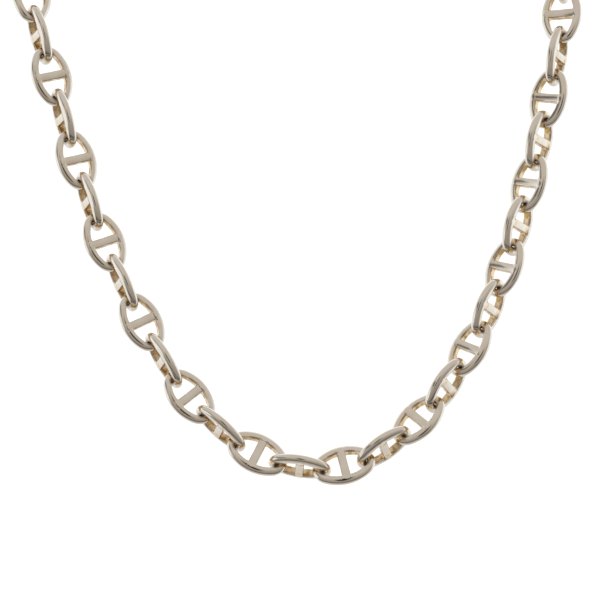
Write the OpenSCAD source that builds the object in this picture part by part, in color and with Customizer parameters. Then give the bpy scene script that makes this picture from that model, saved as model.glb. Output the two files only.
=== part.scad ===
// Mariner link chain necklace: oval links with a crossbar, hooked at right angles into a closed loop.
// The loop keeps the form that it has on a neck: the front hangs as a U, the back passes round the nape.
// X is to the right, +Z is up and the front faces -Y. The origin is on the neck's axis, level with the nape.

/* [Link] */
// Overall length of a link
link_l = 16.2; // [14:0.1:18]
// Overall width of a link
link_w = 10.7; // [9.4:0.1:12]
// Thickness of a link's metal, square to its plane
link_depth = 2.75; // [2:0.05:3.2]
// Width of the metal at a link's two ends
end_metal_w = 1.9; // [1.4:0.05:2.2]
// Width of the metal at a link's two sides
side_metal_w = 2.1; // [1.6:0.05:2.4]
// Outer radius of a link's ends
end_r = 4.2; // [3.4:0.1:4.4]
// Radius of the window's ends, inside which the next link hooks
window_end_r = 2.4; // [2:0.1:2.8]
// How far in from a link's outer edge its rim is rounded
edge_round_w = 1.1; // [0.5:0.05:1.3]
// Height of the bevel on a link's inner edges
inner_bevel = 0.45; // [0.2:0.05:0.6]

/* [Crossbar] */
// Width of the crossbar, along the link
bar_w = 1.85; // [1.4:0.05:2.6]
// Depth of the crossbar, square to the link's plane
bar_depth = 2.4; // [1.4:0.05:2.7]
// How much the crossbar's long edges are rounded away, along the diagonal of its section
bar_edge_cut = 0.115; // [0.05:0.005:0.2]

/* [Chain] */
// Number of links, without the clasp
link_count = 43; // [39:2:47]
// Clear gap left at a hook in a tight bend
hook_gap = 0.15; // [0.1:0.05:0.4]
// How far each hook turns about a point nearer the middle of the link that lies face-on
hook_shift = 0.5; // [0:0.1:0.8]
// How much less the edge-on links roll than the face-on links
edge_link_lag = 1; // [0:1:10]

/* [Clasp] */
// Overall length of the clasp
clasp_l = 23; // [20:0.5:28]
// Outer diameter of the clasp's large ring
ring_d = 11.4; // [10:0.2:13]
// Wire diameter of the large ring
ring_wire_d = 2.4; // [1.8:0.1:2.8]
// Outer diameter of the clasp's eye
eye_d = 7.8; // [7.4:0.2:9]
// Wire diameter of the eye
eye_wire_d = 2; // [1.6:0.1:2.2]
// Greatest diameter of the neck between ring and eye
neck_d = 3.6; // [3:0.1:4.4]

/* [Hidden] */
$fn = 64;

// Radius of the dome on a link's outer edge, which runs from face to face
edge_dome_r = (pow(edge_round_w, 2) + pow(link_depth / 2, 2)) / (2 * edge_round_w);

// The window of a link, before the crossbar divides it
window_l = link_l - 2 * end_metal_w;
window_w = link_w - 2 * side_metal_w;

// Half height of the flat that is left on the inner walls
inner_flat = link_depth / 2 - inner_bevel;

// A flat wall sits across the round end of a window as a chord, this far from the arc's crown
chord_sag = window_end_r - sqrt(pow(window_end_r, 2) - pow(inner_flat, 2));

// The flat turns in the window where the chain bends, and needs this room at its tight bends
tight_bend = 18;
bend_room = link_depth / 2 * sin(tight_bend);

// Distance between the inner walls of two hooked links, and from each link to the next
hook_room = 2 * chord_sag + bend_room + hook_gap;
pitch = window_l - hook_room;

// The clasp between its own two hooks
clasp_inner_l = clasp_l - ring_wire_d - eye_wire_d;
clasp_span = clasp_inner_l - hook_room;
loop_l = link_count * pitch + clasp_span;

// How deep the crossbar's ends go into the link's sides, and the radius that rounds its long edges
bar_root = side_metal_w / 2;
bar_edge_r = norm([bar_w, bar_depth]) / 2 - bar_edge_cut;

// Thickness of the clasp's neck where it meets ring and eye, as a share of the eye's wire
neck_root_share = 0.84;

// Where an oval's end arcs run on inside its side arcs: how far in they lie, and for how many degrees
seam = 0.02;
seam_turn = 4;

// Route of the chain's middle line, from the clasp down the left arm and back up the right one.
// Each row is [x, y, z, roll of the face-on links towards the inside of the loop].
ROUTE = [
    [12.5, 55, 4, 25],
    [-11.5, 55.5, 4, 22],
    [-36, 49.5, 3, 12],
    [-56.5, 37, -1, 7],
    [-68, 21.5, -11, 12],
    [-70.5, 5, -26.5, 21],
    [-64.5, -5, -46.5, 19],
    [-58, -14.5, -66.5, 20],
    [-50.5, -24.5, -85.5, 16],
    [-40.5, -34, -104.5, 15],
    [-28.5, -42.5, -121.5, 15],
    [-11, -49, -135, 17],
    [10.5, -50.5, -138, 21],
    [29, -45, -128.5, 30],
    [43, -36, -112, 34],
    [52.5, -26.5, -93, 36],
    [59, -17, -73.5, 38],
    [64.5, -7, -52.5, 32],
    [68.5, 3, -33, 20],
    [67, 20, -13.5, 16],
    [55.5, 37, -3, 11],
    [35, 49, 2, 16]
];

// The front of the loop leans back by this much, and its links face square to that plane
front_lean = 27;
front_normal = [0, -cos(front_lean), sin(front_lean)];

// Smooth curve through the route's points, cut into short straight steps
steps_per_row = 10;

function curve_point(a, b, c, d, t) =
    0.5 * (2 * b + (c - a) * t + (2 * a - 5 * b + 4 * c - d) * t * t + (3 * b - a - 3 * c + d) * t * t * t);

function route_row(i) = ROUTE[(i + len(ROUTE)) % len(ROUTE)];

curve = [
    for (i = [0 : len(ROUTE)])
        for (k = [0 : (i < len(ROUTE) ? steps_per_row - 1 : 0)])
            curve_point(route_row(i - 1), route_row(i), route_row(i + 1), route_row(i + 2), k / steps_per_row)
];

function place_of(row) = [row[0], row[1], row[2]];

step_l = [for (i = [1 : len(curve) - 1]) norm(place_of(curve[i]) - place_of(curve[i - 1]))];
travel = [for (i = 0, s = 0; i < len(curve); s = s + (i < len(step_l) ? step_l[i] : 0), i = i + 1) s];

// The route is drawn to the length of the links and clasp on it
stretch = loop_l / travel[len(travel) - 1];

function column(c, factor) = [for (i = [0 : len(curve) - 1]) [travel[i] * stretch, curve[i][c] * factor]];

x_table = column(0, stretch);
y_table = column(1, stretch);
z_table = column(2, stretch);
roll_table = column(3, 1);

function on_loop(s) = (s + loop_l) % loop_l;
function point_at(s) = [lookup(on_loop(s), x_table), lookup(on_loop(s), y_table), lookup(on_loop(s), z_table)];
function roll_at(s) = lookup(on_loop(s), roll_table);

// Even links lie face-on and odd links edge-on. Hook i joins piece i to the next, and the clasp is piece 0.
function is_face_on(i) = i % 2 == 0;
function hook_at(i) = clasp_span / 2 + i * pitch + (is_face_on(i) ? -hook_shift : hook_shift);
function start_of(i) = i == 0 ? -hook_at(0) : hook_at(i - 1);

// A piece lies along the chord between its two hooks, turned about that chord by its roll
function unit(v) = v / norm(v);
function piece_roll(i) = roll_at((start_of(i) + hook_at(i)) / 2) + (is_face_on(i) ? 0 : 90 - edge_link_lag);
function piece_axis(i) = unit(point_at(hook_at(i)) - point_at(start_of(i)));
function piece_centre(i) = (point_at(hook_at(i)) + point_at(start_of(i))) / 2;
function square_to(v, axis) = unit(v - axis * (v * axis));
function rolled(v, axis, angle) = v * cos(angle) + cross(v, axis) * sin(angle);
function piece_normal(i) = rolled(square_to(front_normal, piece_axis(i)), piece_axis(i), piece_roll(i));

module in_place(i) {
    x = piece_axis(i);
    z = piece_normal(i);
    y = cross(z, x);
    p = piece_centre(i);
    multmatrix([[x[0], y[0], z[0], p[0]], [x[1], y[1], z[1], p[1]], [x[2], y[2], z[2], p[2]]]) children();
}

// An oval of four arcs: two of end_radius at the ends and two at the sides that run smoothly into them
function side_radius(half_l, half_w, end_radius) =
    (pow(half_l - end_radius, 2) + pow(half_w, 2) - pow(end_radius, 2)) / (2 * (half_w - end_radius));

// Carries a profile round the oval. In the profile x = 0 is on the oval and +x points out of it.
// The end sweeps run on a little way inside the side sweeps, so that the pieces overlap and fuse.
module round_oval(half_l, half_w, end_radius) {
    side_r = side_radius(half_l, half_w, end_radius);
    end_x = half_l - end_radius;
    side_y = side_r - half_w;
    side_half_turn = atan2(end_x, side_y);
    for (half = [0, 180])
        rotate(half) {
            translate([end_x, 0])
                rotate(side_half_turn - 90 - seam_turn)
                    arc_sweep(end_radius - seam, 180 - 2 * side_half_turn + 2 * seam_turn) children();
            translate([0, -side_y])
                rotate(90 - side_half_turn)
                    arc_sweep(side_r, 2 * side_half_turn) children();
        }
}

// Turns a profile about Z at a radius, without what would lie past the axis
module arc_sweep(radius, turn) {
    rotate_extrude(angle = turn)
        intersection() {
            translate([radius, 0]) children();
            translate([0, -link_w]) square([2 * (radius + link_w), 2 * link_w]);
        }
}

// The rim of a link, wider than its metal, because the window is cut out of it
module rim_profile() {
    blank_w = max(end_metal_w, side_metal_w) + inner_bevel;
    half = link_depth / 2;
    intersection() {
        translate([-blank_w, -half]) square([2 * blank_w, 2 * half]);
        union() {
            translate([-edge_dome_r, 0]) circle(edge_dome_r);
            translate([-2 * blank_w, -2 * half]) square([2 * blank_w - edge_dome_r, 4 * half]);
        }
    }
}

// The window with its flat inner wall, opening out at 45 degrees for the bevels
module window_profile() {
    over = link_depth;
    reach = window_w;
    flare = over - inner_flat;
    polygon([[-reach, -over], [flare, -over], [0, -inner_flat], [0, inner_flat], [flare, over], [-reach, over]]);
}

module crossbar() {
    rotate([90, 0, 0])
        linear_extrude(height = window_w + 2 * bar_root, center = true)
            intersection() {
                square([bar_w, bar_depth], center = true);
                circle(bar_edge_r);
            }
}

// One link is a single soldered piece: an oval ring and its crossbar
module link(i) {
    color("silver") in_place(i) {
        difference() {
            round_oval(link_l / 2, link_w / 2, end_r) rim_profile();
            round_oval(window_l / 2, window_w / 2, window_end_r) window_profile();
        }
        crossbar();
    }
}

module wire_ring(outer_d, wire_d) {
    rotate_extrude() translate([(outer_d - wire_d) / 2, 0]) circle(d = wire_d);
}

// A swelling neck along X whose two ends lie inside the wires that it joins
module neck(from_x, to_x) {
    half_l = (to_x - from_x) / 2;
    end_radius = eye_wire_d / 2 * neck_root_share;
    swell = neck_d / 2 - end_radius;
    bow_r = (half_l * half_l + swell * swell) / (2 * swell);
    translate([(from_x + to_x) / 2, 0, 0])
        rotate([0, 90, 0])
            rotate_extrude()
                intersection() {
                    translate([0, -half_l]) square([neck_d, 2 * half_l]);
                    translate([neck_d / 2 - bow_r, 0]) circle(bow_r);
                }
}

// The clasp is one plain piece: a large ring, a neck and an eye, all in one plane
module clasp() {
    ring_x = clasp_inner_l / 2 + ring_wire_d - ring_d / 2;
    eye_x = clasp_inner_l / 2 + eye_wire_d - eye_d / 2;
    ring_near_x = ring_x - (ring_d - ring_wire_d) / 2;
    eye_near_x = -eye_x + (eye_d - eye_wire_d) / 2;
    color("silver") in_place(0) {
        translate([ring_x, 0, 0]) wire_ring(ring_d, ring_wire_d);
        translate([-eye_x, 0, 0]) wire_ring(eye_d, eye_wire_d);
        neck(eye_near_x, ring_near_x);
    }
}

function link_name(i) = str("link_", i < 10 ? "0" : "", i);

for (i = [1 : link_count]) {
    link(i);
}
clasp();
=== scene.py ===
"""Mariner link chain necklace: polished silver links and a clasp, seen as in the photograph."""
from math import atan2, cos, pi, radians, sin, sqrt

import bpy
import numpy as np
from mathutils import Matrix, Vector


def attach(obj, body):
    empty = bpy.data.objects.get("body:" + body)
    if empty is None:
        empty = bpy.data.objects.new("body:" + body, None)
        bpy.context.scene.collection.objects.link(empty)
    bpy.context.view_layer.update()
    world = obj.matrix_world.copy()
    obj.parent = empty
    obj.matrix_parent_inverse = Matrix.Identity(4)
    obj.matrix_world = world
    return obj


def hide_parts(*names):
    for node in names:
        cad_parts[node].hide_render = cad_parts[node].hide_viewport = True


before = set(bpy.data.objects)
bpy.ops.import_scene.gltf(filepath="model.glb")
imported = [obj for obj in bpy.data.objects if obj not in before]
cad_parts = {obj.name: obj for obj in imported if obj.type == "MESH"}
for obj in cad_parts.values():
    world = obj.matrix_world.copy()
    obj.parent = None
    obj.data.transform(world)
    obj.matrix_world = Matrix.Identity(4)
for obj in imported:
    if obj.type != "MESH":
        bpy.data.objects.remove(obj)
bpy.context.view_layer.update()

MM = 0.001
BODY = "root"

# A link's sizes in millimetres, as for all shapes here. Its overall sizes are measured from the CAD piece.
END_METAL_W = 1.9
SIDE_METAL_W = 2.1
END_R = 4.2
WINDOW_END_R = 2.4
EDGE_ROUND_W = 0.8
# Radius between the domed outer edge and the flat face
SHOULDER_R = 0.9
# How much the face is crowned from its edges to its middle
FACE_CROWN = 0.13
# Past its edges a crown goes on falling to this many times its height
CROWN_LIMIT = 1.5
# Radius of the window's edges, along the sides and where the next link hooks. With a smaller radius at the
# hooks the skins of neighbouring links would cut into each other.
SIDE_INNER_R = 0.65
HOOK_INNER_R = 0.4
# Distance from the link's middle over which the one changes into the other
SIDE_INNER_TO_X = 2.6
HOOK_INNER_FROM_X = 4.6

# The crossbar, and how softly it runs into the sides
BAR_W = 2.1
BAR_DEPTH = 2.4
BAR_EDGE_R = 0.22
# How much the bar's faces are crowned across it
BAR_CROWN = 0.12
# How much thinner it is in its middle than at its roots, above and below
BAR_SAG = 0.14
BAR_BLEND = 0.2

# Tarnish of the windows' walls and the crossbar's sides, where polishing doesn't reach. Each pair says
# where it is gone and where it is full: by the distance out of the wall, by the part of the surface's normal
# that is square to the link's plane, and by the distance from that plane.
TARNISH_REACH = (0.35, 0.1)
TARNISH_TILT = (0.85, 0.5)
TARNISH_RISE = (1.15, 0.85)
# The crossbar's roots on the link's back carry a painted reflection of the golden wall, in the tarnish's
# colour
# How far it reaches along the crossbar from its roots, on the link's back, and how softly it ends
ROOT_REFLECTION_W = 1.15
ROOT_REFLECTION_EDGE = 0.1
# Painted shade of the dark hollows where the next link hooks, laid over some dark tarnish, in such pairs: by
# the distance from the link's middle along it and across it, by the distance out of the wall, and by the
# distance from the link's plane
HOOK_SHADE_ALONG = (4.7, 5.7)
HOOK_SHADE_ACROSS = (2.4, 1.5)
HOOK_SHADE_REACH = (0.9, 0.5)
HOOK_SHADE_RISE = (1.35, 1)

# The clasp
CLASP_L = 23
RING_D = 11.4
RING_WIRE_D = 2.4
EYE_D = 7.8
EYE_WIRE_D = 2
NECK_D = 3.6
NECK_ROOT_R = 0.84
# How softly its neck runs into the ring and the eye
CLASP_BLEND = 0.9
# Tarnish in the throats where they meet: how strong it is, and pairs of where it is gone and where it is
# full. One goes by the distance from the ring or the eye, in shares of the blend, and one by the distance
# from the neck's middle, in shares of its half.
THROAT_TARNISH = 0.6
THROAT_REACH = (0.8, 0.2)
THROAT_ALONG = (1, 0.8)
# Size of its quads
CLASP_VOXEL = 0.24
# How finely the rough skins before that are meshed: round ring and eye, round their wire, along the neck
HOOP_TURNS = 48
WIRE_TURNS = 16
NECK_SHARES = (-1.02, -1, -0.8, -0.6, -0.4, -0.2, 0, 0.2, 0.4, 0.6, 0.8, 1, 1.02)
# Radius to which the neck's ends are drawn in, inside the ring and the eye
NECK_TIP_R = 0.01

# How finely a link is meshed
STATIONS = 112
DOME_STEPS = 6
SHOULDER_STEPS = 3
FACE_STEPS = 3
INNER_EDGE_STEPS = 4
WALL_STEPS = 4
# Least width of the face in the outline that a section's points start from, before they settle
LEAST_FACE_W = 0.3
# Stations that the crossbar's root takes up, and its loops from root to middle, as shares of its half
BAR_STATIONS = 10
BAR_LOOP_SHARES = (1.05, 0.98, 0.85, 0.77, 0.68, 0.62, 0.5, 0.3, 0.1)

# How points settle on a surface: the step for its slope, the rounds, and the least square of the slope that
# they divide by
SLOPE_STEP = 0.004
SETTLE_ROUNDS = 6
LEAST_SLOPE = 0.2
# Rounds in which a station's edges are found, and samples that an oval's length is measured with
MEET_ROUNDS = 12
OVAL_SAMPLES = 7201


def oval(half_l, half_w, end_r):
    """An oval of four arcs, as its end centre, end radius, side centre and side radius."""
    end_x = half_l - end_r
    side_r = (end_x ** 2 + half_w ** 2 - end_r ** 2) / (2 * (half_w - end_r))
    return end_x, end_r, side_r - half_w, side_r


def oval_distance(x, y, shape):
    """Signed distance from the oval, positive outside."""
    end_x, end_r, side_y, side_r = shape
    x, y = np.abs(x), np.abs(y)
    at_end = x * side_y > (y + side_y) * end_x
    return np.where(at_end, np.hypot(x - end_x, y) - end_r, np.hypot(x, y + side_y) - side_r)


def oval_stations(shape, count):
    """Points and outward normals at equal steps round the oval, from the middle of its +Y side."""
    end_x, end_r, side_y, side_r = shape
    side_turn = atan2(end_x, side_y)
    turn = np.linspace(0, 2 * pi, OVAL_SAMPLES)
    on_side = np.abs(np.sin(turn)) < sin(side_turn)
    radius = np.where(on_side, side_r, end_r)
    travel = np.concatenate([[0], np.cumsum((radius[1:] + radius[:-1]) / 2 * np.diff(turn))])
    turn = np.interp(np.arange(count) / count * travel[-1], travel, turn)
    normal = np.stack([np.sin(turn), np.cos(turn)], axis=1)
    on_side = np.abs(normal[:, 0]) < sin(side_turn)
    centre_x = np.where(on_side, 0, np.sign(normal[:, 0]) * end_x)
    centre_y = np.where(on_side, -np.sign(normal[:, 1]) * side_y, 0)
    radius = np.where(on_side, side_r, end_r)
    point = np.stack([centre_x, centre_y], axis=1) + normal * radius[:, None]
    return point, normal


def smooth_step(low, high, value):
    """0 at low and 1 at high, also where high is the smaller."""
    t = np.clip((value - low) / (high - low), 0, 1)
    return t * t * (3 - 2 * t)


def rounded_max(a, b, radius):
    """The larger of two distances, with the edge between them rounded."""
    a, b = a + radius, b + radius
    return np.minimum(np.maximum(a, b), 0) + np.hypot(np.maximum(a, 0), np.maximum(b, 0)) - radius


def smooth_min(a, b, blend):
    """The smaller of two distances, with the corner between them filled."""
    near = np.maximum(blend - np.abs(a - b), 0) / blend
    return np.minimum(a, b) - near * near * blend / 4


class Form:
    """A shape given by its signed distance."""

    def slope(self, p):
        """How the distance changes along x, y and z."""
        slopes = []
        for axis in range(3):
            move = np.zeros(3)
            move[axis] = SLOPE_STEP
            rise = self.distance(p + move) - self.distance(p - move)
            slopes.append(rise / (2 * SLOPE_STEP))
        return np.stack(slopes, axis=1)

    def settle(self, p):
        """Moves points onto the surface."""
        for _ in range(SETTLE_ROUNDS):
            slope = self.slope(p)
            length = np.maximum((slope ** 2).sum(axis=1), LEAST_SLOPE)
            p = p - slope * (self.distance(p) / length)[:, None]
        return p


class LinkForm(Form):
    """The shape of one link round its own middle: x along it, y across it, z square to its plane."""

    def __init__(self, length, width, depth):
        self.half_depth = depth / 2
        self.outer = oval(length / 2, width / 2, END_R)
        self.window = oval(length / 2 - END_METAL_W, width / 2 - SIDE_METAL_W, WINDOW_END_R)
        self.half_window = self.window[3] - self.window[2]
        middle_shift = (END_METAL_W + SIDE_METAL_W) / 4
        middle_end_r = (END_R + WINDOW_END_R) / 2
        self.middle = oval(length / 2 - middle_shift, width / 2 - middle_shift, middle_end_r)
        self.dome_r = (EDGE_ROUND_W ** 2 + self.half_depth ** 2) / (2 * EDGE_ROUND_W)
        self.shoulder_dx = sqrt((self.dome_r - SHOULDER_R) ** 2 - (self.half_depth - SHOULDER_R) ** 2)
        self.dome_turn = atan2(self.half_depth - SHOULDER_R, self.shoulder_dx)

    def inner_r(self, x):
        """Radius of the window's edge at a distance along the link."""
        towards_hook = smooth_step(SIDE_INNER_TO_X, HOOK_INNER_FROM_X, np.abs(x))
        return SIDE_INNER_R + (HOOK_INNER_R - SIDE_INNER_R) * towards_hook

    def ring(self, p):
        """Signed distance from the oval ring."""
        x, y, z = p[:, 0], p[:, 1], np.abs(p[:, 2])
        from_edge = -oval_distance(x, y, self.outer)
        from_wall = oval_distance(x, y, self.window)
        across = (from_wall - from_edge) / (from_wall + from_edge)
        face = z - self.half_depth + FACE_CROWN * np.minimum(across ** 2, CROWN_LIMIT)
        dome = np.hypot(self.dome_r - np.minimum(from_edge, self.dome_r), z) - self.dome_r
        outside = rounded_max(dome, face, SHOULDER_R)
        inside = rounded_max(-from_wall, face, self.inner_r(x))
        return np.maximum(outside, inside)

    def bar(self, p):
        """Signed distance from the crossbar, which runs on inside the sides."""
        x, y, z = np.abs(p[:, 0]), np.abs(p[:, 1]), np.abs(p[:, 2])
        crown = BAR_CROWN * np.minimum((x / (BAR_W / 2)) ** 2, CROWN_LIMIT)
        sag = BAR_SAG * np.maximum(1 - (y / self.half_window) ** 2, 0)
        section = rounded_max(x - BAR_W / 2, z + crown + sag - BAR_DEPTH / 2, BAR_EDGE_R)
        return np.maximum(section, y - self.half_window - SIDE_METAL_W / 2)

    def distance(self, p):
        """Signed distance from the whole link."""
        return smooth_min(self.ring(p), self.bar(p), BAR_BLEND)

    def wall_share(self, p, normal):
        """1 on the windows' walls and the crossbar's sides, where tarnish is, and at its roots on the back,
        where it is a painted reflection of the golden wall; 0 on the polish.
        """
        from_wall = oval_distance(p[:, 0], p[:, 1], self.window)
        wall = smooth_step(*TARNISH_REACH, from_wall)
        wall = wall * smooth_step(*TARNISH_TILT, np.abs(normal[:, 2]))
        wall = wall * smooth_step(*TARNISH_RISE, np.abs(p[:, 2]))
        # Painted reflection of the golden wall near the crossbar's roots, on the link's back only
        root_from = self.half_window - ROOT_REFLECTION_W
        along_bar = np.abs(p[:, 1])
        root = smooth_step(root_from - ROOT_REFLECTION_EDGE, root_from + ROOT_REFLECTION_EDGE, along_bar)
        root = root * smooth_step(self.half_window + ROOT_REFLECTION_EDGE, self.half_window, along_bar)
        root = root * smooth_step(BAR_W / 2 + ROOT_REFLECTION_EDGE, BAR_W / 2, np.abs(p[:, 0]))
        return np.maximum(wall, root * (p[:, 2] < 0))

    def hook_shade_share(self, p):
        """1 where the next link hooks: painted shade of the hollow there, over some dark tarnish."""
        hooked = smooth_step(*HOOK_SHADE_ALONG, np.abs(p[:, 0]))
        hooked = hooked * smooth_step(*HOOK_SHADE_ACROSS, np.abs(p[:, 1]))
        near_wall = smooth_step(*HOOK_SHADE_REACH, oval_distance(p[:, 0], p[:, 1], self.window))
        return near_wall * hooked * smooth_step(*HOOK_SHADE_RISE, np.abs(p[:, 2]))

    def profile(self, width, inner_r):
        """A section's outline, from the outer edge over the face to the window's wall, and back below."""
        dome_x = width - self.dome_r
        half = []
        for k in range(DOME_STEPS):
            turn = self.dome_turn * k / DOME_STEPS
            half.append((dome_x + self.dome_r * cos(turn), self.dome_r * sin(turn)))
        shoulder_x = dome_x + self.shoulder_dx
        inner_r = min(inner_r, shoulder_x - LEAST_FACE_W)
        for k in range(SHOULDER_STEPS):
            turn = self.dome_turn + (pi / 2 - self.dome_turn) * k / SHOULDER_STEPS
            shoulder_z = self.half_depth - SHOULDER_R * (1 - sin(turn))
            half.append((shoulder_x + SHOULDER_R * cos(turn), shoulder_z))
        for k in range(FACE_STEPS):
            half.append((shoulder_x + (inner_r - shoulder_x) * k / FACE_STEPS, self.half_depth))
        for k in range(INNER_EDGE_STEPS):
            turn = pi / 2 * k / INNER_EDGE_STEPS
            half.append((inner_r * (1 - sin(turn)), self.half_depth - inner_r * (1 - cos(turn))))
        for k in range(WALL_STEPS + 1):
            half.append((0, (self.half_depth - inner_r) * (1 - k / WALL_STEPS)))
        return half + [(s, -z) for s, z in half[-2:0:-1]]


def ring_sections(form):
    """The ring's sections at equal steps round its oval: an array by station, by point and by axis."""
    middle, normal = oval_stations(form.middle, STATIONS)

    def meet(shape, sign):
        """Where the stations' normals meet an oval, outwards or inwards."""
        reach = np.zeros(len(middle))
        for _ in range(MEET_ROUNDS):
            at = middle + normal * (sign * reach)[:, None]
            reach = reach - sign * oval_distance(at[:, 0], at[:, 1], shape)
        return middle + normal * (sign * reach)[:, None]

    wall = meet(form.window, -1)
    edge = meet(form.outer, 1)
    rows = []
    for k in range(STATIONS):
        width = float(np.linalg.norm(edge[k] - wall[k]))
        inner_r = float(form.inner_r(wall[k][0]))
        section = []
        for s, z in form.profile(width, inner_r):
            x, y = wall[k] + (edge[k] - wall[k]) * s / width
            section.append((x, y, z))
        rows.append(section)
    return np.array(rows)


def link_mesh(form):
    """A link as one closed skin of quads: the swept ring, and the crossbar grown out of its walls."""
    ring = ring_sections(form)
    count = ring.shape[1]

    # The face's last point before the window's edge, above and below, bounds the crossbar's root
    top = DOME_STEPS + SHOULDER_STEPS + FACE_STEPS - 1
    bottom = count - top
    half_root = BAR_STATIONS // 2
    points = [tuple(p) for p in ring.reshape(-1, 3)]
    quads = []

    def index(k, j):
        return (k % STATIONS) * count + j % count

    def in_root(k, j):
        """Whether the ring is open here, for the crossbar to grow out of it."""
        at_bar = (k + half_root) % (STATIONS // 2) < BAR_STATIONS
        return at_bar and top <= j < bottom

    for k in range(STATIONS):
        for j in range(count):
            if not in_root(k, j):
                quads.append((index(k, j), index(k, j + 1), index(k + 1, j + 1), index(k + 1, j)))

    def root_loop(side):
        """The hole's rim on one side: its ring indices, and its x and z as shares of the bar's section."""
        start = 0 if side > 0 else STATIONS // 2
        loop = []
        for k in range(-half_root, half_root):
            loop.append((start + k * side, top, k / half_root, 1))
        for j in range(top, bottom):
            loop.append((start + half_root * side, j, 1, 1 - 2 * (j - top) / (bottom - top)))
        for k in range(half_root, -half_root, -1):
            loop.append((start + k * side, bottom, k / half_root, -1))
        for j in range(bottom, top, -1):
            loop.append((start - half_root * side, j, -1, 1 - 2 * (j - top) / (bottom - top)))
        return loop

    near = root_loop(1)
    far = root_loop(-1)
    loops = [[index(k, j) for k, j, _, _ in near]]
    shares = BAR_LOOP_SHARES + tuple(-share for share in reversed(BAR_LOOP_SHARES))
    for share in shares:
        start = len(points)
        for _, _, across, up in near:
            points.append((across * BAR_W / 2, share * form.half_window, up * BAR_DEPTH / 2))
        loops.append(list(range(start, start + len(near))))
    loops.append([index(k, j) for k, j, _, _ in far])
    for first, second in zip(loops, loops[1:]):
        for k in range(len(first)):
            after = (k + 1) % len(first)
            quads.append((first[k], second[k], second[after], first[after]))

    return np.array(points), quads


def drop_unused(points, quads):
    """The mesh without the points that no quad uses, which lie behind the crossbar's roots."""
    used = sorted({k for quad in quads for k in quad})
    new = {old: k for k, old in enumerate(used)}
    return points[used], [tuple(new[k] for k in quad) for quad in quads]


def torus_points(centre_x, middle_r, wire_r):
    """A hoop's points, by turn round the hoop and by turn round its wire."""
    turn = np.arange(HOOP_TURNS) * 2 * pi / HOOP_TURNS
    roll = np.arange(WIRE_TURNS) * 2 * pi / WIRE_TURNS
    turn, roll = np.meshgrid(turn, roll, indexing="ij")
    reach = middle_r + wire_r * np.cos(roll)
    x = centre_x + reach * np.cos(turn)
    return np.stack([x, reach * np.sin(turn), wire_r * np.sin(roll)], axis=2)


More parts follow.
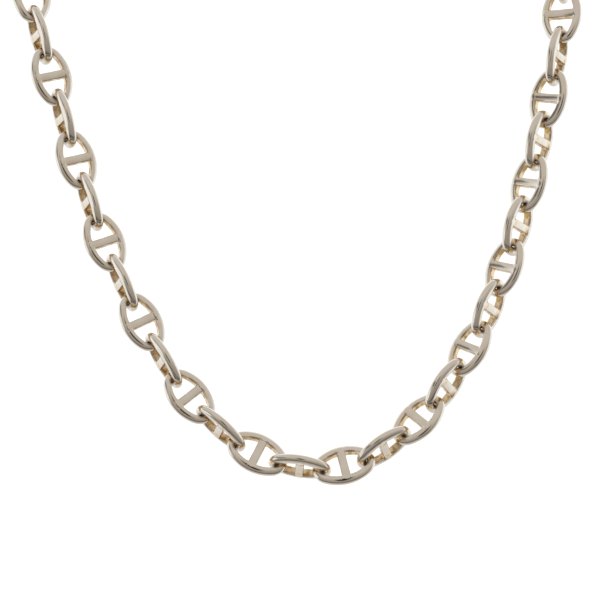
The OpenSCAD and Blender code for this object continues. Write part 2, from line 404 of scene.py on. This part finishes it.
class ClaspForm(Form):
    """The clasp round the middle between its hooks: ring towards +x, eye towards -x, z square to both."""

    def __init__(self):
        inner_l = CLASP_L - RING_WIRE_D - EYE_WIRE_D
        self.ring_x = inner_l / 2 + RING_WIRE_D - RING_D / 2
        self.eye_x = EYE_D / 2 - EYE_WIRE_D - inner_l / 2
        self.ring_r = (RING_D - RING_WIRE_D) / 2
        self.eye_r = (EYE_D - EYE_WIRE_D) / 2
        neck_from = self.eye_x + self.eye_r
        neck_to = self.ring_x - self.ring_r
        self.neck_x = (neck_from + neck_to) / 2
        self.neck_half = (neck_to - neck_from) / 2
        swell = NECK_D / 2 - NECK_ROOT_R
        self.bow_r = (self.neck_half ** 2 + swell ** 2) / (2 * swell)

    def ring(self, p):
        """Signed distance from the large ring."""
        from_middle = np.hypot(p[:, 0] - self.ring_x, p[:, 1]) - self.ring_r
        return np.hypot(from_middle, p[:, 2]) - RING_WIRE_D / 2

    def eye(self, p):
        """Signed distance from the eye."""
        from_middle = np.hypot(p[:, 0] - self.eye_x, p[:, 1]) - self.eye_r
        return np.hypot(from_middle, p[:, 2]) - EYE_WIRE_D / 2

    def neck(self, p):
        """Signed distance from the neck, a barrel between the two."""
        along = p[:, 0] - self.neck_x
        bow = np.hypot(along, np.hypot(p[:, 1], p[:, 2]) + self.bow_r - NECK_D / 2) - self.bow_r
        return np.maximum(bow, np.abs(along) - self.neck_half)

    def distance(self, p):
        """Signed distance from the whole clasp."""
        return smooth_min(self.ring(p), smooth_min(self.eye(p), self.neck(p), CLASP_BLEND), CLASP_BLEND)

    def wall_share(self, p, normal):
        """Tarnish in the throats where the ring and the eye meet the neck."""
        from_hoops = np.minimum(self.eye(p), self.ring(p))
        along = np.abs(p[:, 0] - self.neck_x)
        near = smooth_step(CLASP_BLEND * THROAT_REACH[0], CLASP_BLEND * THROAT_REACH[1], from_hoops)
        at_end = smooth_step(self.neck_half * THROAT_ALONG[0], self.neck_half * THROAT_ALONG[1], along)
        return THROAT_TARNISH * near * at_end

    def hook_shade_share(self, p):
        """The clasp has no painted hook shade."""
        return np.zeros(len(p))

    def neck_points(self):
        """The neck's points, by station along it and by turn round it, with its ends drawn in."""
        along = self.neck_half * np.array(NECK_SHARES)
        bow = np.sqrt(self.bow_r ** 2 - np.minimum(along ** 2, self.neck_half ** 2))
        reach = bow - self.bow_r + NECK_D / 2
        reach[[0, -1]] = NECK_TIP_R
        around = np.arange(WIRE_TURNS) * 2 * pi / WIRE_TURNS
        rows = []
        for x, r in zip(along, reach):
            rows.append([(self.neck_x + x, r * cos(a), r * sin(a)) for a in around])
        return rows

    def starter(self):
        """Rough closed skins of the ring, the eye and the neck, which overlap."""
        points = []
        quads = []
        for centre_x, middle_r, wire_d in (
            (self.ring_x, self.ring_r, RING_WIRE_D),
            (self.eye_x, self.eye_r, EYE_WIRE_D),
        ):
            base = len(points)
            points.extend(torus_points(centre_x, middle_r, wire_d / 2).reshape(-1, 3).tolist())
            for i in range(HOOP_TURNS):
                row = base + i * WIRE_TURNS
                next_row = base + (i + 1) % HOOP_TURNS * WIRE_TURNS
                for j in range(WIRE_TURNS):
                    after = (j + 1) % WIRE_TURNS
                    quads.append((row + j, next_row + j, next_row + after, row + after))
        base = len(points)
        rows = self.neck_points()
        for row in rows:
            points.extend(row)
        last_row = base + (len(rows) - 1) * WIRE_TURNS
        for row in range(base, last_row, WIRE_TURNS):
            next_row = row + WIRE_TURNS
            for j in range(WIRE_TURNS):
                after = (j + 1) % WIRE_TURNS
                quads.append((row + j, row + after, next_row + after, next_row + j))
        quads.append(tuple(base + j for j in reversed(range(WIRE_TURNS))))
        quads.append(tuple(last_row + j for j in range(WIRE_TURNS)))
        return points, quads


def remeshed(points, faces, voxel):
    """One even closed skin of quads round overlapping closed skins."""
    mesh = bpy.data.meshes.new("starter")
    mesh.from_pydata(points, [], faces)
    starter = bpy.data.objects.new("starter", mesh)
    bpy.context.scene.collection.objects.link(starter)
    modifier = starter.modifiers.new("remesh", "REMESH")
    modifier.mode = "VOXEL"
    modifier.voxel_size = voxel
    depsgraph = bpy.context.evaluated_depsgraph_get()
    skin = bpy.data.meshes.new_from_object(starter.evaluated_get(depsgraph))
    at = np.empty(len(skin.vertices) * 3)
    skin.vertices.foreach_get("co", at)
    quads = [tuple(face.vertices) for face in skin.polygons]
    bpy.data.objects.remove(starter)
    bpy.data.meshes.remove(mesh)
    bpy.data.meshes.remove(skin)
    return at.reshape(-1, 3), quads


def solid_pose(node):
    """A CAD piece's middle, its own axes as columns, longest first, and its corners seen from them."""
    mesh = node.data
    mesh.calc_loop_triangles()
    at = np.empty(len(mesh.vertices) * 3)
    mesh.vertices.foreach_get("co", at)
    corners = np.empty(len(mesh.loop_triangles) * 3, dtype=int)
    mesh.loop_triangles.foreach_get("vertices", corners)
    tri = at.reshape(-1, 3)[corners].reshape(-1, 3, 3) / MM
    origin = tri.mean(axis=(0, 1))
    tri = tri - origin
    volume = np.einsum("ij,ij->i", tri[:, 0], np.cross(tri[:, 1], tri[:, 2])) / 6
    total = tri.sum(axis=1)
    centre = (volume[:, None] * total / 4).sum(axis=0) / volume.sum()
    # The second moments of the tetrahedra between the origin and each triangle
    spread = np.einsum("i,ij,ik->jk", volume, total, total)
    spread += np.einsum("i,inj,ink->jk", volume, tri, tri)
    spread = spread / 20 / volume.sum() - np.outer(centre, centre)
    _, axes = np.linalg.eigh(spread)
    x, y = axes[:, 2], axes[:, 1]
    z = np.cross(x, y)
    turn = np.stack([x, y, z], axis=1)
    local = (tri.reshape(-1, 3) - centre) @ turn
    return centre + origin, turn, local


def placed(centre, turn):
    """The matrix that takes a piece from its own axes to its place."""
    matrix = Matrix(turn.tolist()).to_4x4()
    matrix.translation = Vector((centre * MM).tolist())
    return matrix


class Tree:
    """Short names for the few node kinds that the materials and the world are made of."""

    def __init__(self, owner):
        owner.use_nodes = True
        self.nodes = owner.node_tree.nodes
        self.links = owner.node_tree.links

    def add(self, kind, **settings):
        node = self.nodes.new("ShaderNode" + kind)
        for name, value in settings.items():
            setattr(node, name, value)
        return node

    def feed(self, socket, value):
        if isinstance(value, bpy.types.NodeSocket):
            self.links.new(value, socket)
        else:
            socket.default_value = value

    def math(self, operation, *values):
        node = self.add("Math", operation=operation)
        for socket, value in zip(node.inputs, values):
            self.feed(socket, value)
        return node.outputs[0]

    def vector_math(self, operation, first, second):
        node = self.add("VectorMath", operation=operation)
        self.feed(node.inputs[0], first)
        self.feed(node.inputs[1], second)
        return node.outputs[0]

    def spread(self, value, low, high, new_low=0, new_high=1):
        """Maps low..high smoothly to new_low..new_high."""
        node = self.add("MapRange", interpolation_type="SMOOTHSTEP")
        self.feed(node.inputs["Value"], value)
        node.inputs["From Min"].default_value = low
        node.inputs["From Max"].default_value = high
        node.inputs["To Min"].default_value = new_low
        node.inputs["To Max"].default_value = new_high
        return node.outputs["Result"]

    def mix(self, factor, first, second):
        node = self.add("Mix", data_type="RGBA")
        self.feed(node.inputs["Factor"], factor)
        self.feed(node.inputs["A"], first)
        self.feed(node.inputs["B"], second)
        return node.outputs["Result"]

    def noise(self, place, scale, detail=2, roughness=0.5):
        node = self.add("TexNoise")
        self.feed(node.inputs["Vector"], place)
        node.inputs["Scale"].default_value = scale
        node.inputs["Detail"].default_value = detail
        node.inputs["Roughness"].default_value = roughness
        return node.outputs["Fac"]

    def scratches(self, place, scale, turn):
        """Noise drawn out into hairlines, with its own cells turned about z."""
        node = self.add("Mapping")
        self.feed(node.inputs["Vector"], place)
        node.inputs["Scale"].default_value = scale
        node.inputs["Rotation"].default_value = (0, 0, turn)
        return self.noise(node.outputs["Vector"], 1)


# Colours of the polished metal, of its tarnish, which also paints the reflection at the crossbar's roots,
# and of the painted shade with dark tarnish where links hook
SILVER = (0.86, 0.80, 0.71, 1)
SILVER_WARM = (0.82, 0.74, 0.62, 1)
# Golden tarnish, also used for the painted reflection at the crossbar's roots
TARNISH_AND_REFLECTION = (0.92, 0.74, 0.5, 1)
TARNISH_AND_REFLECTION_DEEP = (0.52, 0.33, 0.12, 1)
# Painted shade of the dark hollows where links hook, over some dark tarnish
HOOK_SHADE_AND_TARNISH = (0.13, 0.06, 0.018, 1)
# Names of the masks on the meshes
WALL_MASK = "inner_wall"
# The second mask holds the painted shade where links hook
HOOK_SHADE_MASK = "hook"
# How fine the cloudy tone, the tarnish's patches, the wear and the dents are, in cells a metre
TONE_SCALE = 260
PATCH_SCALE = 550
WEAR_SCALE = 1500
DENT_SCALE = 450
# The noise over which each of the first three goes from one end to the other
TONE_RANGE = (0.35, 0.7)
PATCH_RANGE = (0.4, 0.6)
WEAR_RANGE = (0.3, 0.75)
# Roughness of polished silver, least and most worn, and how much tarnish and the painted hook shade add
POLISH_ROUGHNESS = (0.07, 0.16)
TARNISH_ROUGHER = 0.16
HOOK_SHADE_ROUGHER = 0.4
# Hairlines along a link and across it: their cells a metre by axis, and how far these are turned in radians
ALONG_SCALE = (500, 9000, 9000)
ALONG_TURN = 0.5
ACROSS_SCALE = (8000, 700, 8000)
ACROSS_TURN = 0.35
# How high the dents are against the hairlines, and how strong and, in metres, how high the relief is
DENT_SHARE = 6
BUMP_STRENGTH = 0.25
BUMP_HEIGHT = 0.00001


def polished_silver():
    """Polished silver with hairline scratches, golden-brown tarnish where polishing doesn't reach, a painted
    reflection of that gold at the crossbar's roots, and painted near-black shade with dark tarnish where
    links hook.
    """
    material = bpy.data.materials.new("polished_silver")
    tree = Tree(material)
    shader = tree.nodes["Principled BSDF"]
    place = tree.add("TexCoord").outputs["Object"]
    wall = tree.add("Attribute", attribute_name=WALL_MASK).outputs["Fac"]
    hook_shade = tree.add("Attribute", attribute_name=HOOK_SHADE_MASK).outputs["Fac"]

    cloud = tree.noise(place, TONE_SCALE, detail=3)
    tone = tree.mix(tree.spread(cloud, *TONE_RANGE), SILVER, SILVER_WARM)
    patches = tree.noise(place, PATCH_SCALE, detail=3)
    tarnish_and_reflection = tree.mix(tree.spread(patches, *PATCH_RANGE), TARNISH_AND_REFLECTION, TARNISH_AND_REFLECTION_DEEP)
    # Base colour: tone, then tarnish on the walls and the painted reflection at the crossbar's roots, then
    # painted near-black shade where links hook
    tree.feed(shader.inputs["Base Color"], tree.mix(hook_shade, tree.mix(wall, tone, tarnish_and_reflection), HOOK_SHADE_AND_TARNISH))
    shader.inputs["Metallic"].default_value = 1

    wear = tree.noise(place, WEAR_SCALE, detail=4, roughness=0.6)
    rough = tree.spread(wear, *WEAR_RANGE, *POLISH_ROUGHNESS)
    rough = tree.math("MULTIPLY_ADD", hook_shade, HOOK_SHADE_ROUGHER, rough)
    tree.feed(shader.inputs["Roughness"], tree.math("MULTIPLY_ADD", wall, TARNISH_ROUGHER, rough))

    along = tree.scratches(place, ALONG_SCALE, ALONG_TURN)
    across = tree.scratches(place, ACROSS_SCALE, ACROSS_TURN)
    dents = tree.math("MULTIPLY", tree.noise(place, DENT_SCALE, detail=1), DENT_SHARE)
    bump = tree.add("Bump")
    bump.inputs["Strength"].default_value = BUMP_STRENGTH
    bump.inputs["Distance"].default_value = BUMP_HEIGHT
    height = tree.math("ADD", tree.math("ADD", along, across), dents)
    tree.feed(bump.inputs["Height"], height)
    tree.feed(shader.inputs["Normal"], bump.outputs["Normal"])
    return material


# Camera: where it looks, how far away it stands and how much a pixel of the photograph covers there
PHOTO_W = 600
TARGET = Vector((0, -31.4, -99.4)) * MM
CAMERA_ELEVATION = radians(17)
CAMERA_DISTANCE = 900 * MM
PIXEL = 0.2558 * MM
# How far it is moved up in its own picture
RISE = 1.3 * MM
# Its sensor's width in millimetres, and the distances in metres between which it sees
SENSOR_W = 36
CLIP_FROM = 0.01
CLIP_TO = 50


def set_camera():
    """The photograph's view, a little from above."""
    data = bpy.data.cameras.new("camera")
    camera = bpy.data.objects.new("camera", data)
    bpy.context.scene.collection.objects.link(camera)
    towards = Vector((0, cos(CAMERA_ELEVATION), -sin(CAMERA_ELEVATION)))
    up = Vector((0, sin(CAMERA_ELEVATION), cos(CAMERA_ELEVATION)))
    camera.location = TARGET + up * RISE - towards * CAMERA_DISTANCE
    camera.rotation_euler = towards.to_track_quat("-Z", "Y").to_euler()
    data.sensor_width = SENSOR_W
    data.lens = SENSOR_W * CAMERA_DISTANCE / (PHOTO_W * PIXEL)
    data.clip_start = CLIP_FROM
    data.clip_end = CLIP_TO
    bpy.context.scene.camera = camera


# The pale floor below the hanging chain: its height and half its width in metres, and its look
FLOOR_Z = -0.25
FLOOR_HALF = 12
FLOOR_COLOUR = (0.92, 0.92, 0.92, 1)
FLOOR_ROUGHNESS = 0.9
FLOOR_GLOW = 0.5


def set_stage():
    """A floor that the metal doesn't reflect."""
    mesh = bpy.data.meshes.new("floor")
    signs = ((-1, -1), (1, -1), (1, 1), (-1, 1))
    corners = [(x * FLOOR_HALF, y * FLOOR_HALF, FLOOR_Z) for x, y in signs]
    mesh.from_pydata(corners, [], [(0, 1, 2, 3)])
    floor = bpy.data.objects.new("floor", mesh)
    bpy.context.scene.collection.objects.link(floor)
    material = bpy.data.materials.new("pale_floor")
    material.use_nodes = True
    shader = material.node_tree.nodes["Principled BSDF"]
    shader.inputs["Base Color"].default_value = FLOOR_COLOUR
    shader.inputs["Roughness"].default_value = FLOOR_ROUGHNESS
    shader.inputs["Emission Color"].default_value = (1, 1, 1, 1)
    shader.inputs["Emission Strength"].default_value = FLOOR_GLOW
    mesh.materials.append(material)
    floor.visible_glossy = False


# Brightness of the studio, in pairs of the direction's height, -1 straight down and 1 straight up, and the
# brightness there. In front it is the room behind the camera, with two dark lines of the table's edge. At
# the sides it is the white panels, and at the back the white backdrop.
FRONT_BRIGHTNESS = (
    (-1, 0.5), (-0.72, 0.45), (-0.66, 0.08), (-0.58, 0.08), (-0.54, 0.36), (-0.5, 0.36), (-0.46, 0.08),
    (-0.38, 0.1), (-0.33, 0.3), (0, 0.36), (0.26, 0.41), (0.5, 0.52), (0.8, 0.61), (1, 0.62),
)
SIDE_BRIGHTNESS = (
    (-1, 0.72), (-0.75, 0.74), (-0.5, 0.9), (-0.26, 1.02), (0, 1.04), (0.26, 0.94), (0.5, 0.76),
    (0.7, 0.63), (1, 0.62),
)
BACK_BRIGHTNESS = (
    (-1, 0.74), (-0.92, 0.78), (-0.45, 0.9), (0, 1.06), (0.75, 1), (0.9, 0.75), (1, 0.62),
)
# Brightness that the top of a ramp stands for
RAMP_TOP = 2
# The direction's y over which the front changes into the sides, and the sides into the back
FRONT_TO_Y = -0.42
SIDE_FROM_Y = 0.08
SIDE_TO_Y = 0.35
BACK_FROM_Y = 0.7
# The camera, seen as a dark upright patch: its direction, its half sizes, and the shares of them over
# which it ends
LENS_TOWARDS = (-0.01, -0.88, 0.46)
LENS_HALF = (0.2, 0.7, 0.3)
LENS_FADE = (0.6, 1.1)
LENS_BRIGHTNESS = 0.06
# A strip of the left panel that reaches forward, in the same terms
STRIP_TOWARDS = (-0.92, -0.33, 0.06)
STRIP_HALF = (0.4, 0.2, 0.3)
STRIP_FADE = (0.7, 1.1)
# The dark seam above the left panel: the direction's height there, its half width and the share of that
# which is darkest, the direction's x over which it sets in, and the y over which it ends
SEAM_HEIGHT = 0.545
SEAM_HALF = 0.14
SEAM_CORE = 0.3
SEAM_FROM_X = -0.55
SEAM_TO_X = -0.68
SEAM_FROM_Y = -0.12
SEAM_TO_Y = 0.02
SEAM_BRIGHTNESS = 0.28
# The room is warm and the lit panels are white. The tint changes over these brightnesses.
ROOM_TINT = (1, 0.925, 0.85, 1)
PANEL_TINT = (1, 1.035, 1.08, 1)
TINT_FROM = 0.45
TINT_TO = 0.95
# What the camera itself sees behind the necklace
BACKDROP = (1.15, 1.15, 1.15, 1)


def ramp(tree, height, stops):
    """Brightness by the direction's height, as a share of the ramp's top."""
    node = tree.add("ValToRGB")
    elements = node.color_ramp.elements
    while len(elements) < len(stops):
        elements.new(0.5)
    for element, (at, brightness) in zip(elements, stops):
        share = brightness / RAMP_TOP
        element.position = (at + 1) / 2
        element.color = (share, share, share, 1)
    tree.feed(node.inputs["Fac"], tree.math("MULTIPLY_ADD", height, 0.5, 0.5))
    return node.outputs["Color"]


def patch(tree, towards, middle, half, fade, inside, outside):
    """One value round a direction and another away from it, fading over these shares of its half sizes."""
    offset = tree.vector_math("SUBTRACT", towards, middle)
    scaled = tree.vector_math("DIVIDE", offset, half)
    reach = tree.add("VectorMath", operation="LENGTH")
    tree.feed(reach.inputs[0], scaled)
    return tree.spread(reach.outputs["Value"], *fade, inside, outside)


def set_world():
    """A light tent whose front shows the room. The camera itself sees a plain white backdrop."""
    world = bpy.data.worlds.new("studio")
    bpy.context.scene.world = world
    tree = Tree(world)
    towards = tree.add("TexCoord").outputs["Generated"]
    axes = tree.add("SeparateXYZ")
    tree.feed(axes.inputs[0], towards)
    front = ramp(tree, axes.outputs["Z"], FRONT_BRIGHTNESS)
    side = ramp(tree, axes.outputs["Z"], SIDE_BRIGHTNESS)
    back = ramp(tree, axes.outputs["Z"], BACK_BRIGHTNESS)
    room = tree.mix(tree.spread(axes.outputs["Y"], FRONT_TO_Y, SIDE_FROM_Y), front, side)
    room = tree.mix(tree.spread(axes.outputs["Y"], SIDE_TO_Y, BACK_FROM_Y), room, back)

    strip = patch(tree, towards, STRIP_TOWARDS, STRIP_HALF, STRIP_FADE, 1, 0)
    room = tree.mix(strip, room, side)
    lens_shade = patch(tree, towards, LENS_TOWARDS, LENS_HALF, LENS_FADE, LENS_BRIGHTNESS, 1)

    off_seam = tree.math("ABSOLUTE", tree.math("SUBTRACT", axes.outputs["Z"], SEAM_HEIGHT))
    beside_seam = tree.spread(off_seam, SEAM_HALF * SEAM_CORE, SEAM_HALF, SEAM_BRIGHTNESS, 1)
    before_seam = tree.spread(axes.outputs["X"], SEAM_TO_X, SEAM_FROM_X)
    past_seam = tree.spread(axes.outputs["Y"], SEAM_FROM_Y, SEAM_TO_Y)
    seam_shade = tree.math("MAXIMUM", beside_seam, tree.math("MAXIMUM", before_seam, past_seam))

    brightness = tree.math("MULTIPLY", room, RAMP_TOP)
    tint = tree.mix(tree.spread(brightness, TINT_FROM, TINT_TO), ROOM_TINT, PANEL_TINT)
    shade = tree.math("MULTIPLY", lens_shade, seam_shade)
    lit = tree.add("VectorMath", operation="SCALE")
    tree.feed(lit.inputs[0], room)
    tree.feed(lit.inputs["Scale"], tree.math("MULTIPLY", shade, RAMP_TOP))
    tinted = tree.vector_math("MULTIPLY", lit.outputs[0], tint)
    seen = tree.add("LightPath").outputs["Is Camera Ray"]
    tree.feed(tree.nodes["Background"].inputs["Color"], tree.mix(seen, tinted, BACKDROP))


def dress_links(material):
    """Every link is the same skin, laid over its solid."""
    names = sorted(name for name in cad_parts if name.startswith("link_"))
    shared = None
    for number, name in enumerate(names, start=1):
        centre, turn, corners = solid_pose(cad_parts[name])
        # Even links lie face-on, and their side without the painted root reflection is turned forwards. On
        # odd links it is turned back.
        face_on = number % 2 == 0
        turned_forwards = turn[1, 2] < 0
        if turned_forwards != face_on:
            turn = turn * np.array([1, -1, -1])
        if shared is None:
            form = LinkForm(*np.ptp(corners, axis=0))
            points, quads = drop_unused(*link_mesh(form))
            points = form.settle(points)
            shared = smooth_skin("mariner_link", form, points, quads, material)
        add_piece("silver_" + name, shared, centre, turn, name)


def smooth_skin(name, form, points, faces, material):
    """A mesh in metres, shaded by the form's own slope, with its masks of tarnish with the painted root
    reflection, and of painted hook shade with tarnish.
    """
    mesh = bpy.data.meshes.new(name)
    mesh.from_pydata((points * MM).tolist(), [], faces)
    mesh.update()
    mesh.polygons.foreach_set("use_smooth", [True] * len(mesh.polygons))
    normals = form.slope(points)
    normals = normals / np.linalg.norm(normals, axis=1)[:, None]
    mesh.normals_split_custom_set_from_vertices(normals.tolist())
    masks = {WALL_MASK: form.wall_share(points, normals), HOOK_SHADE_MASK: form.hook_shade_share(points)}
    for mask_name, share in masks.items():
        mask = mesh.attributes.new(mask_name, "FLOAT", "POINT")
        mask.data.foreach_set("value", share)
    mesh.materials.append(material)
    return mesh


def add_piece(name, mesh, centre, turn, node):
    """One piece of silver on the body, in place of a CAD node."""
    piece = bpy.data.objects.new(name, mesh)
    bpy.context.scene.collection.objects.link(piece)
    piece.matrix_world = placed(centre, turn)
    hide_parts(node)
    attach(piece, BODY)


def dress_clasp(material):
    """The clasp's skin, laid over its solid."""
    centre, turn, corners = solid_pose(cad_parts["clasp"])
    # The ring is wider than the eye, and lies towards +x
    half_w = np.abs(corners[:, 1])
    if half_w[corners[:, 0] < 0].max() > half_w[corners[:, 0] > 0].max():
        turn = turn * np.array([-1, -1, 1])
        corners = corners * np.array([-1, -1, 1])
    form = ClaspForm()
    points, quads = remeshed(*form.starter(), CLASP_VOXEL)
    points = form.settle(points)
    middle = (corners.min(axis=0) + corners.max(axis=0)) / 2
    middle[0] -= (RING_D / 2 + form.ring_x - EYE_D / 2 + form.eye_x) / 2
    clasp = smooth_skin("clasp_skin", form, points, quads, material)
    add_piece("silver_clasp", clasp, centre + turn @ middle, turn, "clasp")


bpy.context.scene.view_settings.view_transform = "Standard"
silver = polished_silver()
set_camera()
set_stage()
set_world()
dress_links(silver)
dress_clasp(silver)
